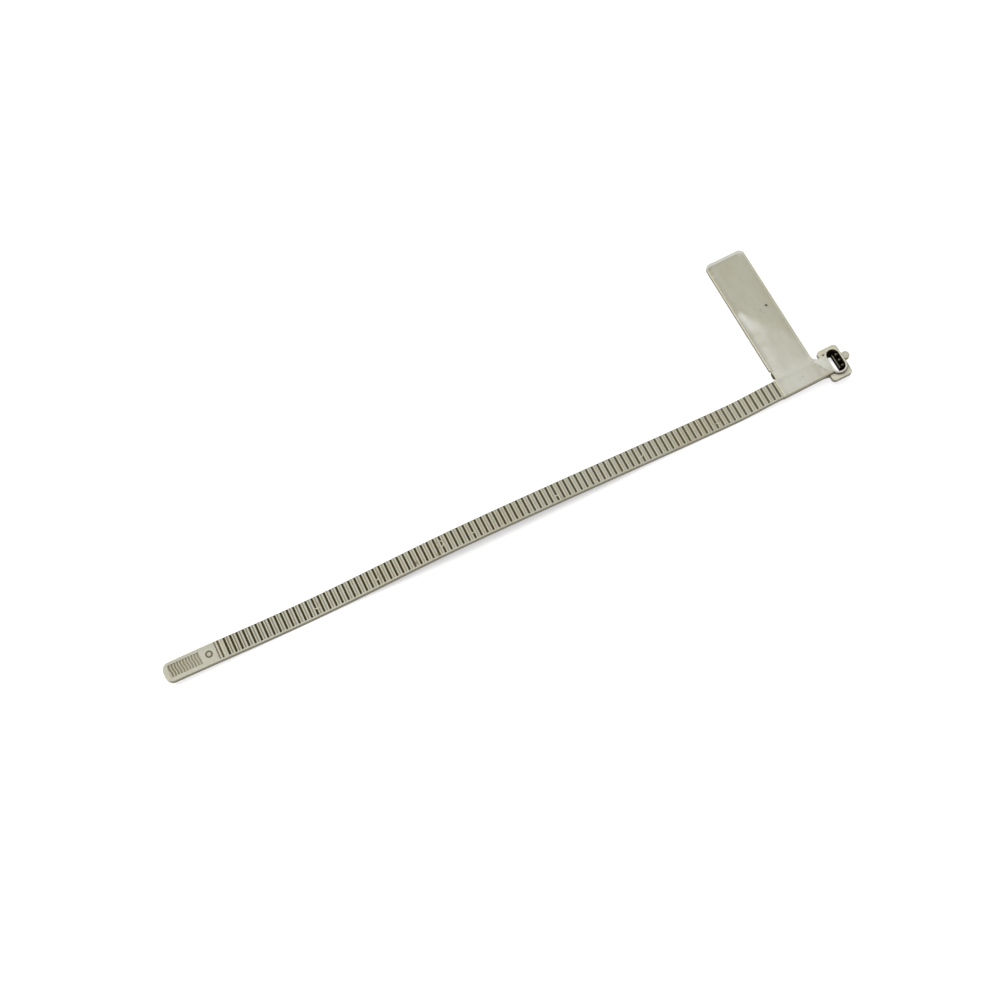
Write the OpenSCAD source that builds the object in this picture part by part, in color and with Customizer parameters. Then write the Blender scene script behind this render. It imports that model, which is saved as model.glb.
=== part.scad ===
// Flag-type cable marker tie: toothed strap, writing flag and locking head in one moulding.
// The strap runs along +X towards the head, the flag stands out along +Y, and +Z is up.

/* [Strap] */
// Width of the strap across the teeth
strap_w = 4.8; // [3.6:0.1:7.6]
// Thickness of the strap at its crests
strap_t = 1.2; // [0.9:0.05:1.8]
// Distance from one tooth to the next
tooth_pitch = 1.575; // [1.2:0.005:2.2]
// Number of grooves along the strap
tooth_count = 95; // [40:1:160]
// Depth of a groove below the crest
groove_depth = 0.45; // [0.25:0.01:0.7]
// Flat floor of a groove, along the strap
groove_floor = 0.42; // [0.25:0.01:0.7]
// Length of the ramp that climbs from a floor to its crest
ramp_run = 0.24; // [0.1:0.01:0.4]
// Length of the level crest
crest_run = 0.14; // [0.05:0.01:0.3]
// Fall of a tooth's back from its crest to its holding wall
back_fall = 0.12; // [0.04:0.01:0.2]
// Plain rail left in front of the grooves
rail_front = 0.36; // [0.15:0.01:0.6]
// Plain rail left behind the grooves
rail_back = 0.13; // [0.1:0.01:0.6]
// Depth of the first groove, where the tool runs out
first_groove_depth = 0.2; // [0.1:0.01:0.4]

/* [Bow of the strap] */
// Height of the tail's end above the table
tail_lift = 1.5; // [0:0.1:6]
// Height of the middle of the strap above the table
mid_lift = 2.3; // [0:0.1:6]
// Distance from the first groove to where the strap touches the table
touch_x = 20; // [10:1:30]
// Distance from the first groove to the top of the bow
bow_x = 64; // [45:1:75]
// Distance from the first groove to the far foot of the bow
bow_end_x = 142; // [100:1:145]
// Length over which the strap climbs from the table to the plain run
rise_len = 14; // [10:1:30]
// Slope of the plain run up to the head, in degrees
head_pitch = 4.3; // [3:0.1:6]

/* [Tail] */
// Length of the plain tail before the first groove
tail_len = 13.9; // [11.5:0.1:20]
// Width of the tail where its end rounding begins
tail_tip_w = 4.7; // [3.4:0.02:4.8]
// Corner radius of the tail's end
tail_r = 1.85; // [0.8:0.05:2.2]
// Plain rim between the tail's end and the grip panel
grip_inset = 1.3; // [0.8:0.1:2]
// Length of the grip panel
grip_len = 7.7; // [5:0.1:8]
// Width of the grip panel
grip_w = 3.1; // [2:0.1:3.4]
// Number of grip ridges
grip_count = 11; // [6:1:14]
// Depth of the grip panel at its ridges
grip_panel_depth = 0.08; // [0.04:0.01:0.2]
// Further depth of the furrows between the ridges
grip_furrow_depth = 0.18; // [0.08:0.01:0.3]
// Outer diameter of the plain ring mark between panel and teeth
ring_d = 1.6; // [1:0.1:2.4]
// Width of the ring mark's groove
ring_w = 0.26; // [0.15:0.01:0.4]
// Depth of the ring mark
ring_depth = 0.14; // [0.05:0.01:0.3]
// Distance from the ring's centre to the first groove
ring_x = 2.8; // [2:0.1:3.5]
// Width of the fine line scored just before the first groove
score_w = 0.2; // [0.1:0.02:0.3]
// Depth of that line
score_depth = 0.12; // [0.05:0.01:0.3]
// Distance from that line to the first groove
score_x = 0.8; // [0.5:0.02:1]

/* [Plain run] */
// Thickness of the plain run between the teeth and the slot
plain_t = 1.5; // [1.3:0.05:2]
// Distance from the last groove to the centre of the slot
plain_len = 16.6; // [15.6:0.1:26]
// Distance that the front edge has come in by the slot
neck_in = 0.25; // [0:0.05:0.5]

/* [Flag] */
// Width of the flag along the strap
flag_w = 10.9; // [8:0.1:11.4]
// Reach of the flag's tip from the strap's centre line
flag_reach = 38.3; // [20:0.1:60]
// Thickness of the flag
flag_t = 0.95; // [0.7:0.05:1.1]
// Step from the plain run's top down to the flag's face
flag_step = 0.14; // [0.04:0.01:0.3]
// Distance from the last groove to the flag's edge
flag_gap = 0.85; // [0.8:0.05:3]
// Width of the slope from the plain run's top down to the flag
shoulder_w = 0.7; // [0.2:0.05:1.2]
// Corner radius of the flag's tip
flag_r = 1.5; // [0.5:0.1:3]
// Length of the thin web between strap and flag
web_len = 2.6; // [1:0.1:5]
// Thickness of the thin web
web_t = 0.6; // [0.4:0.05:0.7]
// Step back of the web's edge from the flag's edge
web_inset = 0.35; // [0.1:0.05:1]
// Radius of the hollow corner between flag and plain run
root_r = 1.5; // [0.5:0.1:1.8]
// Depth of the writing panel in the flag's face
panel_depth = 0.07; // [0.03:0.01:0.2]
// Border of the writing panel along its sides
panel_side = 0.55; // [0.3:0.05:1.5]
// Border of the writing panel at the tip
panel_tip = 1; // [0.5:0.1:3]
// Corner radius of the writing panel
panel_r = 1; // [0.3:0.1:2]

/* [Head] */
// Height of the head from its foot to its rim
head_h = 4.4; // [3.6:0.1:6]
// Stand of the rim above the plain run
rim_proud = 0.12; // [0.05:0.01:0.3]
// Opening of the slot along the strap
slot_w = 3.35; // [2.8:0.05:3.8]
// Opening of the slot across the strap
slot_l = 6.2; // [5.3:0.05:8]
// Wall of the tube around the slot
tube_wall = 0.42; // [0.35:0.01:0.8]
// Size of the flange along the strap
flange_w = 5.5; // [5:0.1:7]
// Size of the flange across the strap
flange_l = 8.9; // [8:0.1:12]
// Thickness of the flange
flange_t = 1.4; // [0.8:0.05:2]
// Step from the plain run's top down to the flange
flange_drop = 0.95; // [0.6:0.05:1.3]
// Shift of the flange's centre from the slot's centre, towards the strap
flange_x = 0.2; // [0:0.05:0.5]
// Corner radius of the flange
flange_r = 1; // [0.4:0.1:1.5]
// Diameter of the round nub beyond the head
nub_d = 2.1; // [1.5:0.1:3]
// Thickness of the nub
nub_t = 1.1; // [0.8:0.05:1.6]
// Step from the plain run's top down to the nub
nub_drop = 0.4; // [0.2:0.05:0.8]
// Distance from the slot's centre to the nub's centre
nub_x = 3; // [2.9:0.1:4]
// Distance of the nub's centre from the strap's centre line
nub_y = 0.35; // [0:0.05:0.8]

/* [Pawl] */
// Clear channel that the strap passes through, at the pawl's tip
channel_w = 1.6; // [1.5:0.05:2]
// Thickness of the pawl's blade
pawl_t = 0.4; // [0.3:0.05:0.5]
// Length of the pawl across the strap
pawl_l = 3.9; // [3:0.1:4.2]
// Depth of the pawl's tip below the plain run's top
pawl_tip_drop = 1; // [0.8:0.05:1.6]
// Depth of the pawl's heel below the plain run's top
pawl_heel_drop = 3.3; // [2.6:0.05:3.8]
// Lean of the pawl into the channel, from its heel up to its tip
pawl_lean = 0.6; // [0:0.05:0.7]
// Thickness of the web that carries the pawl
heel_t = 0.7; // [0.4:0.05:0.9]
// Number of small ribs behind the pawl
rib_count = 3; // [2:1:4]
// Width of a rib
rib_w = 0.36; // [0.2:0.02:0.5]
// Stand of a rib from the slot's wall
rib_out = 0.85; // [0.2:0.05:0.9]
// Distance from one rib to the next
rib_pitch = 1.6; // [1:0.1:1.7]
// Depth of a rib's top below the plain run's top
rib_drop = 0.5; // [0.3:0.05:0.8]

/* [Hidden] */
$fn = 96;
// spare length that carries a cut or a joint past a face
over = 0.5;
// length of one smooth step of the strap's plain lines
line_step = 2;
run_x = (tooth_count - 1) * tooth_pitch;
slot_x = run_x + plain_len;
// the plain run's straight slope begins just past the last tooth's crest
root_x = run_x + groove_floor / 2 + ramp_run + crest_run;
// height of the strap where the plain run begins, so that the head's foot meets the table
root_lift = (head_h - rim_proud) * cos(head_pitch) + (slot_w / 2 + tube_wall) * sin(head_pitch)
    - plain_t - (slot_x - root_x) * tan(head_pitch);
rise_x = root_x - rise_len;
tail_x = -tail_len;
slot_top_z = strap_under(slot_x) + plain_t;
panel_x0 = tail_x + grip_inset;
grip_pitch = grip_len / grip_count;
flag_x0 = flag_gap - plain_len;
flag_x1 = flag_x0 + flag_w;
tube_w = slot_w + 2 * tube_wall;
tube_l = slot_l + 2 * tube_wall;
foot_z = rim_proud - head_h;
// widest points of the part, for the frame
x_min = tail_x;
x_max = slot_x + (nub_x + nub_d / 2) * cos(head_pitch) + (nub_drop + nub_t) * sin(head_pitch);
y_min = -flange_l / 2;
y_max = flag_reach;

// smooth climb from 0 to 1 while u goes from 0 to 1
function ease(u) = (1 - cos(180 * min(1, max(0, u)))) / 2;
function tail_rise(x) = tail_lift * ease((touch_x - x) / (touch_x - tail_x));
function bow_rise(x) = mid_lift * (x < bow_x
    ? ease((x - touch_x) / (bow_x - touch_x))
    : 1 - ease((x - bow_x) / (bow_end_x - bow_x)));
// climb that leaves the table level and meets the plain run's slope without a kink
function root_climb(u) =
    root_lift * u * u * (3 - 2 * u) + rise_len * tan(head_pitch) * u * u * (u - 1);
function root_rise(x) = x < rise_x ? 0
    : x < root_x ? root_climb((x - rise_x) / rise_len)
    : root_lift + (x - root_x) * tan(head_pitch);
// underside and top of the strap above the table
function strap_under(x) = tail_rise(x) + bow_rise(x) + root_rise(x);
function strap_top(x) = strap_under(x) + strap_t;
function depth_at(i) = i == 0 ? first_groove_depth : groove_depth;
// one groove as seen from the side, from its holding wall to the next one
function tooth_line(i) =
    let (x = i * tooth_pitch, z = strap_top(x), h = groove_floor / 2)
    [
        [x - h, z - back_fall],
        [x - h, z - depth_at(i)],
        [x + h, z - depth_at(i)],
        [x + h + ramp_run, strap_top(x + h + ramp_run)],
        [x + h + ramp_run + crest_run, strap_top(x + h + ramp_run + crest_run)]
    ];

// flat outline of the strap seen from the side, with a smooth top
module strap_side() {
    xs = [for (x = [tail_x - over : line_step : root_x]) x];
    under = [for (x = xs) [x, strap_under(x)]];
    top = [for (i = [len(xs) - 1 : -1 : 0]) [xs[i], strap_top(xs[i])]];
    ends = [[root_x, strap_under(root_x)], [slot_x, strap_under(slot_x)],
        [slot_x, slot_top_z], [root_x, strap_under(root_x) + plain_t]];
    polygon(concat(under, ends, top));
}

// everything above the teeth, seen from the side
module tooth_cut_side() {
    teeth = [for (i = [0 : tooth_count - 1]) for (p = tooth_line(i)) p];
    lid = [for (i = [tooth_count - 1 : -1 : 0])
        [i * tooth_pitch, strap_top(i * tooth_pitch) + over]];
    polygon(concat(teeth, lid));
}

// a side outline given a width across the strap, from y0 to y1
module across(y0, y1) {
    translate([0, y1, 0])
        rotate([90, 0, 0])
            linear_extrude(y1 - y0)
                children();
}

// plan of the strap: parallel run, slight taper and round end
module strap_plan() {
    polygon([[0, -strap_w / 2], [root_x, -strap_w / 2],
        [slot_x, neck_in - strap_w / 2], [slot_x, strap_w / 2], [0, strap_w / 2],
        [tail_x + tail_r, tail_tip_w / 2], [tail_x + tail_r, -tail_tip_w / 2]]);
    translate([tail_x, tail_r - tail_tip_w / 2])
        square([tail_r + over, tail_tip_w - 2 * tail_r]);
    for (s = [-1, 1])
        translate([tail_x + tail_r, s * (tail_tip_w / 2 - tail_r)])
            circle(tail_r);
}

module rounded_plate(w, l, r, t) {
    translate([-w / 2, r - l / 2, 0])
        cube([w, l - 2 * r, t]);
    translate([r - w / 2, -l / 2, 0])
        cube([w - 2 * r, l, t]);
    for (i = [-1, 1])
        for (j = [-1, 1])
            translate([i * (w / 2 - r), j * (l / 2 - r), 0])
                cylinder(r = r, h = t);
}

module obround(w, l, h) {
    translate([-w / 2, (w - l) / 2, 0])
        cube([w, l - w, h]);
    for (s = [-1, 1])
        translate([0, s * (l - w) / 2, 0])
            cylinder(d = w, h = h);
}

// grip panel and ring mark, sunk in the tail
module tail_marks() {
    across(-grip_w / 2, grip_w / 2) {
        line = [for (i = [0 : grip_count - 1])
            for (p = [[0, 0], [0.5, -grip_furrow_depth]])
                let (x = panel_x0 + (i + p[0]) * grip_pitch)
                    [x, strap_top(x) - grip_panel_depth + p[1]]];
        end_x = panel_x0 + grip_len;
        polygon(concat(line, [[end_x, strap_top(end_x) - grip_panel_depth],
            [end_x, strap_top(end_x) + over], [panel_x0, strap_top(panel_x0) + over]]));
    }
    across(rail_front - strap_w / 2, strap_w / 2 - rail_back)
        translate([-score_x - score_w / 2, strap_top(-score_x) - score_depth])
            square([score_w, over]);
    translate([-ring_x, 0, strap_top(-ring_x) - ring_depth])
        difference() {
            cylinder(d = ring_d, h = over);
            translate([0, 0, -over])
                cylinder(d = ring_d - 2 * ring_w, h = 2 * over);
        }
}

module strap() {
    difference() {
        intersection() {
            across(-strap_w, strap_w)
                strap_side();
            translate([0, 0, -over])
                linear_extrude(2 * head_h)
                    strap_plan();
        }
        across(rail_front - strap_w / 2, strap_w / 2 - rail_back)
            tooth_cut_side();
        tail_marks();
    }
}

// the flag, in the head's own frame: origin at the slot's centre, on the plain run's top plane
module flag() {
    web_y = strap_w / 2 + web_len;
    top_z = -flag_step;
    difference() {
        translate([flag_x0, web_y, top_z - flag_t]) {
            cube([flag_w, flag_reach - web_y - flag_r, flag_t]);
            translate([flag_r, 0, 0])
                cube([flag_w - 2 * flag_r, flag_reach - web_y, flag_t]);
            for (x = [flag_r, flag_w - flag_r])
                translate([x, flag_reach - web_y - flag_r, 0])
                    cylinder(r = flag_r, h = flag_t);
        }
        // writing panel, open towards the web
        translate([flag_x0 + flag_w / 2, (flag_reach - panel_tip) / 2, top_z - panel_depth])
            rounded_plate(flag_w - 2 * panel_side, flag_reach - panel_tip, panel_r, over);
    }
    // thin web down to the strap, level with the writing panel
    translate([flag_x0 + web_inset, 0, top_z - panel_depth - web_t])
        cube([flag_w - web_inset, web_y + over, web_t]);
    // hollow corner between the flag and the plain run
    translate([flag_x1 - over, 0, top_z - panel_depth - web_t])
        difference() {
            cube([root_r + over, strap_w / 2 + root_r, web_t]);
            translate([root_r + over, strap_w / 2 + root_r, -over])
                cylinder(r = root_r, h = web_t + 2 * over);
        }
}

// what the slope between plain run and flag takes away
module shoulder_cut() {
    top_y = strap_w / 2 - shoulder_w;
    translate([flag_x0, 0, 0])
        rotate([90, 0, 90])
            linear_extrude(flag_w)
                polygon([[top_y, 0], [strap_w / 2, -flag_step], [strap_w / 2 + over, -flag_step],
                    [strap_w / 2 + over, over], [top_y, over]]);
}

// pawl blade, the web that carries it and the ribs behind it
module pawl() {
    blade_x = channel_w - slot_w / 2;
    heel_x = blade_x + pawl_lean;
    across(-pawl_l / 2, pawl_l / 2)
        polygon([[heel_x, -pawl_heel_drop], [heel_x + pawl_t, -pawl_heel_drop],
            [blade_x + pawl_t, -pawl_tip_drop], [blade_x, -pawl_tip_drop]]);
    translate([heel_x, -slot_l / 2, -pawl_heel_drop - heel_t])
        cube([slot_w / 2 + tube_wall / 2 - heel_x, slot_l, heel_t + pawl_t]);
    for (i = [0 : rib_count - 1])
        translate([slot_w / 2 - rib_out, (i - (rib_count - 1) / 2) * rib_pitch - rib_w / 2,
            -pawl_heel_drop])
            cube([rib_out + tube_wall / 2, rib_w, pawl_heel_drop - rib_drop]);
}

module head_outside() {
    translate([0, 0, foot_z])
        obround(tube_w, tube_l, head_h);
    translate([-flange_x, 0, -flange_drop - flange_t])
        rounded_plate(flange_w, flange_l, flange_r, flange_t);
    translate([nub_x, nub_y, -nub_drop - nub_t])
        cylinder(d = nub_d, h = nub_t);
}

module at_head() {
    translate([slot_x, 0, slot_top_z])
        rotate([0, -head_pitch, 0])
            children();
}

module cable_marker() {
    color("#c3c3b1")
        translate([-(x_min + x_max) / 2, -(y_min + y_max) / 2, 0]) {
            difference() {
                union() {
                    strap();
                    at_head() {
                        flag();
                        head_outside();
                    }
                }
                at_head() {
                    translate([0, 0, foot_z - over])
                        obround(slot_w, slot_l, head_h + 2 * over);
                    shoulder_cut();
                }
            }
            at_head()
                intersection() {
                    pawl();
                    translate([0, 0, foot_z])
                        obround(slot_w + tube_wall, slot_l + tube_wall, head_h);
                }
        }
}

cable_marker();
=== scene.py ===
from math import cos, hypot, pi, radians, sin, sqrt, tan

import bmesh
import bpy
from mathutils import Matrix, Vector


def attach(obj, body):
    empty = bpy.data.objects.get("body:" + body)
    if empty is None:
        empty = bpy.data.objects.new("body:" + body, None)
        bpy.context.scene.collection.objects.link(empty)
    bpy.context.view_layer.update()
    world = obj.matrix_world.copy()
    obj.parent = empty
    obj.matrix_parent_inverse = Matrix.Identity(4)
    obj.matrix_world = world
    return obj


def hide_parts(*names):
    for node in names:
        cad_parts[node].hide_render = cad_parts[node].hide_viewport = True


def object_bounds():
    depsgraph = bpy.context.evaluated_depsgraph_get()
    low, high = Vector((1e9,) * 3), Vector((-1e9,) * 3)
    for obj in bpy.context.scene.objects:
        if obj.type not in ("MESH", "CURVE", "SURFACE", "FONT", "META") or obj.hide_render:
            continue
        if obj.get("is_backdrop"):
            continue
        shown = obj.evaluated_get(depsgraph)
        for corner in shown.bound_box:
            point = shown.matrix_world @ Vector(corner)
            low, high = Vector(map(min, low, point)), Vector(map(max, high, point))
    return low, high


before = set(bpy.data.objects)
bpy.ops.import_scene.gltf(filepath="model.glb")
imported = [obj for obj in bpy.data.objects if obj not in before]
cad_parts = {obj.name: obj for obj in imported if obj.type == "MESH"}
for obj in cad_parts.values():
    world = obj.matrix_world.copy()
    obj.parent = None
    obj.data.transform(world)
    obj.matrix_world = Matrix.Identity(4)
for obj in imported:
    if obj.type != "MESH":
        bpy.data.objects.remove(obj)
cad_low, cad_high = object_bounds()

# Camera: a normal lens some 35 cm away, looking down steeply from in front of the tail.
# The marker lies across the middle of the frame and its flag points away.
mm = 0.001
lens_elevation = radians(68.82)
lens_heading = radians(26.36)
lens_distance = 346.67 * mm
aim = Vector((-3.17, -12.17, 1.2)) * mm
level = Vector((sin(lens_heading), cos(lens_heading), 0))
sight = cos(lens_elevation) * level - sin(lens_elevation) * Vector((0, 0, 1))
camera = bpy.data.objects.new("camera", bpy.data.cameras.new("camera"))
camera.data.lens = 51.89
camera.data.clip_start = 0.01
camera.location = aim - lens_distance * sight
camera.rotation_mode = "QUATERNION"
camera.rotation_quaternion = sight.to_track_quat("-Z", "Y")
bpy.context.collection.objects.link(camera)
bpy.context.scene.camera = camera

# Moulded nylon: the whole marker is one shot of grey-olive, slightly waxy nylon.
# Its skin is a fine satin with faint flow streaks. Painted shade, with some soil, darkens the
# recesses and the side walls; painted highlights, with some rubbing, pale the edges and crests,
# and painted light pales patches of its faces.
nylon_olive = (0.378, 0.352, 0.238, 1)
nylon_grey = (0.435, 0.430, 0.345, 1)
# cream of painted highlights on edges and crests, with some rubbing
worn_edge = (0.64, 0.59, 0.405, 1)
# painted shade in recesses and on walls and corners, with some soil
grime_brown = (0.034, 0.026, 0.001, 1)
# brown of real discolouring, and of painted shade tone on walls
stain_brown = (0.27, 0.205, 0.11, 1)
# pale grey of painted light and reflections on the faces
chalk_grey = (0.61, 0.61, 0.54, 1)
# pale of painted glints
glint_pale = (0.80, 0.80, 0.74, 1)
# brown of smudging, and of painted shadows beside the pin marks and at the neck
smudge_brown = (0.14, 0.105, 0.045, 1)
speck_black = (0.012, 0.011, 0.006, 1)


def feed(tree, socket, value):
    """Gives a node's input a number or a colour, or another node's result."""
    if isinstance(value, (int, float, tuple)):
        socket.default_value = value
    else:
        tree.links.new(value, socket)


def calculate(tree, operation, *values, clamped=False):
    """The result of a sum on numbers or other nodes' results."""
    node = tree.nodes.new("ShaderNodeMath")
    node.operation = operation
    node.use_clamp = clamped
    for socket, value in enumerate(values):
        feed(tree, node.inputs[socket], value)
    return node.outputs[0]


def spread(tree, value, low, high, to_low=0.0, to_high=1.0, easing="LINEAR"):
    """A value taken from one range to another, and held at its ends."""
    node = tree.nodes.new("ShaderNodeMapRange")
    node.interpolation_type = easing
    names = ("Value", "From Min", "From Max", "To Min", "To Max")
    for socket, number in zip(names, (value, low, high, to_low, to_high)):
        feed(tree, node.inputs[socket], number)
    return node.outputs["Result"]


def mix(tree, factor, first, second):
    """A colour between two others."""
    node = tree.nodes.new("ShaderNodeMix")
    node.data_type = "RGBA"
    for socket, value in ((0, factor), (6, first), (7, second)):
        feed(tree, node.inputs[socket], value)
    return node.outputs[2]


def nylon(
    name, satin=0.3, specks=(), smudges=(), blooms=(), glints=(), handled=None, grime=grime_brown, sheen=0.5
):
    """The moulding's nylon, of this roughness. The spots are (x, y, radius, strength).

    The fade range (x, x) is where the painted shade in the recesses gets a little lighter.
    Sheen is how glossy the darkest recess is. The mesh's own marks say how much a point has of
    painted shade with soil, painted highlight with rubbing, brown discolouring with painted shade,
    painted light, and a darker band across the lands.
    """
    material = bpy.data.materials.new(name)
    material.use_nodes = True
    tree = material.node_tree
    nodes, links = tree.nodes, tree.links
    shader = nodes["Principled BSDF"]
    shader.inputs["IOR"].default_value = 1.5
    place = nodes.new("ShaderNodeTexCoord").outputs["Object"]

    def noise(scale, detail=2.0, stretch=(1, 1, 1), turn=0.0):
        laid = nodes.new("ShaderNodeMapping")
        laid.inputs["Rotation"].default_value = (0, 0, turn)
        laid.inputs["Scale"].default_value = stretch
        links.new(place, laid.inputs["Vector"])
        texture = nodes.new("ShaderNodeTexNoise")
        texture.inputs["Scale"].default_value = scale
        texture.inputs["Detail"].default_value = detail
        links.new(laid.outputs["Vector"], texture.inputs["Vector"])
        return texture.outputs["Fac"]

    def spot(x, y, radius, strength):
        flat = nodes.new("ShaderNodeVectorMath")
        flat.operation = "MULTIPLY"
        flat.inputs[1].default_value = (1, 1, 0)
        links.new(place, flat.inputs[0])
        away = nodes.new("ShaderNodeVectorMath")
        away.operation = "DISTANCE"
        links.new(flat.outputs["Vector"], away.inputs[0])
        away.inputs[1].default_value = (x, y, 0)
        return spread(tree, away.outputs["Value"], radius * 0.3, radius, strength, 0)

    def marked(attribute):
        node = nodes.new("ShaderNodeAttribute")
        node.attribute_name = attribute
        return node.outputs["Fac"]

    cloud = spread(tree, noise(70, 3), 0.30, 0.70)
    flow = spread(tree, noise(420, 2, (1, 0.16, 1), radians(-38)), 0.42, 0.66, 0, 0.55)
    tone = mix(tree, flow, mix(tree, cloud, nylon_olive, nylon_grey), nylon_grey)
    # painted light and painted glints, in spots
    for spots, colour in ((blooms, chalk_grey), (glints, glint_pale)):
        for x, y, radius, strength in spots:
            tone = mix(tree, spot(x, y, radius, strength), tone, colour)
    # painted light from the mesh's own marks
    tone = mix(tree, marked("bloom"), tone, chalk_grey)
    # painted highlights on edges and crests, with some rubbing
    tone = mix(tree, marked("wear"), tone, worn_edge)
    # brown discolouring, partly painted shade tone on the walls
    tone = mix(tree, marked("stain"), tone, stain_brown)
    # painted shade, with some soil, in the recesses, on the walls and inside the slot
    dirty = marked("recess")
    # the painted shade in the recesses gets a little lighter towards the head, and a darker band across the
    # lands fades out towards it
    if handled:
        start, end = handled
        apart = nodes.new("ShaderNodeSeparateXYZ")
        links.new(place, apart.inputs["Vector"])
        kept = spread(tree, apart.outputs["X"], start, end, 1.0, 0.82)
        filmy = spread(tree, apart.outputs["X"], start - 60 * mm, end - 30 * mm, 1.4, 0.0)
        thinner = calculate(tree, "MULTIPLY", dirty, kept)
        dirty = calculate(tree, "MULTIPLY_ADD", marked("film"), filmy, thinner)
    tone = mix(tree, dirty, tone, grime)
    # smudging, much of it painted shadows, and dark specks
    for spots, colour in ((smudges, smudge_brown), (specks, speck_black)):
        for x, y, radius, strength in spots:
            tone = mix(tree, spot(x, y, radius, strength), tone, colour)
    links.new(tone, shader.inputs["Base Color"])
    links.new(spread(tree, marked("recess"), 0.3, 0.9, 0.5, sheen), shader.inputs["Specular IOR Level"])
    skin = spread(tree, noise(900, 3), 0.3, 0.7, satin - 0.04, satin + 0.05)
    dull = spread(tree, marked("recess"), 0.05, 0.5, 0.0, 0.6)
    links.new(calculate(tree, "ADD", skin, dull, clamped=True), shader.inputs["Roughness"])
    grain = nodes.new("ShaderNodeBump")
    grain.inputs["Strength"].default_value = 0.10
    grain.inputs["Distance"].default_value = 0.05 * mm
    links.new(noise(3200, 3), grain.inputs["Height"])
    swell = nodes.new("ShaderNodeBump")
    swell.inputs["Strength"].default_value = 0.25
    swell.inputs["Distance"].default_value = 0.25 * mm
    links.new(noise(300, 2, (1, 0.5, 1), radians(-30)), swell.inputs["Height"])
    links.new(grain.outputs["Normal"], swell.inputs["Normal"])
    links.new(swell.outputs["Normal"], shader.inputs["Normal"])
    return material


# Toothed strap: a nylon band 4.8 mm wide with a groove every 1.575 mm across its top.
# Each tooth climbs to a crest on the tail side of a groove and falls a little to a steep wall.
# It comes out of the mould flat and has taken a slight bow in its bag.
strap_width = 4.8 * mm
strap_thick = 1.2 * mm
tooth_pitch = 1.575 * mm
groove_count = 95
rail_front = 0.26 * mm
rail_back = 0.13 * mm
rail_slope = 0.07 * mm
lip_out = 0.15 * mm
edge_round = 0.17 * mm
tail_length = 13.9 * mm
flange_across = 8.9 * mm
head_pitch = radians(4.3)
run_length = (groove_count - 1) * tooth_pitch
slot_x = run_length + 16.6 * mm
root_x = run_length + 0.59 * mm
rise_length = 14 * mm
plain_thick = 1.5 * mm
rim_proud = 0.12 * mm
head_height = 4.4 * mm
slot_wide = 3.35 * mm
slot_long = 6.2 * mm
tube_wall = 0.42 * mm
root_lift = (
    (head_height - rim_proud) * cos(head_pitch)
    + (slot_wide / 2 + tube_wall) * sin(head_pitch)
    - plain_thick
    - (slot_x - root_x) * tan(head_pitch)
)
to_row = Matrix.Translation((cad_low.x + tail_length, cad_low.y + flange_across / 2, 0))


def in_row(x, y, radius, strength):
    """A spot given in millimetres from the first groove and the strap's centre line."""
    at = to_row @ Vector((x * mm, y * mm, 0))
    return at.x, at.y, radius * mm, strength


strap_nylon = nylon(
    "strap_nylon",
    # dark spots, mostly painted shadows beside the pin marks
    smudges=[in_row(*spot) for spot in (
        (49.2, -1.3, 0.8, 0.75), (55.0, -1.9, 0.7, 0.8), (40.2, 0.2, 0.9, 0.35),
        (40.6, -0.9, 0.6, 0.4), (24.6, 0.4, 0.7, 0.3), (88.0, -2.0, 0.9, 0.25),
        (131.8, -0.4, 0.8, 0.35), (55.4, 1.0, 0.5, 0.5), (57.1, 0.5, 0.5, 0.4),
        (55.6, -0.5, 0.4, 0.5),
    )],
    # the painted shade in the grooves gets lighter over this stretch
    handled=(to_row.translation.x + 0.05, to_row.translation.x + 0.13),
)


def loft(rings, capped=True):
    """Points and faces of a skin through closed rings that all have the same number of points."""
    count = len(rings[0])
    points = [point for ring in rings for point in ring]
    faces = []
    for i in range(len(rings) - 1):
        for j in range(count):
            k = (j + 1) % count
            faces.append((i * count + j, i * count + k, (i + 1) * count + k, (i + 1) * count + j))
    if capped:
        faces.append(tuple(range(count)))
        faces.append(tuple(range((len(rings) - 1) * count, len(rings) * count)))
    return points, faces


def mark(mesh, **fields):
    """Stores one number a point, such as painted shade or painted highlight, for the material to read."""
    for name, values in fields.items():
        mesh.attributes.new(name, "FLOAT", "POINT").data.foreach_set("value", values)


def face_out(mesh):
    """Turns the faces outwards, shades them smooth and keeps edges over 40 degrees sharp."""
    work = bmesh.new()
    work.from_mesh(mesh)
    bmesh.ops.recalc_face_normals(work, faces=work.faces)
    work.to_mesh(mesh)
    work.free()
    mesh.shade_smooth()
    mesh.set_sharp_from_angle(angle=radians(40))


def rounding(inset, radius):
    """How far a rounded edge has dropped at this distance in from the outline."""
    if inset >= radius:
        return 0.0
    return radius - sqrt(radius * radius - (radius - max(0.0, inset)) ** 2)


def smooth(value):
    """An S-shaped rise, level below nought and above one."""
    value = min(1.0, max(0.0, value))
    return value * value * (3 - 2 * value)


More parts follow.
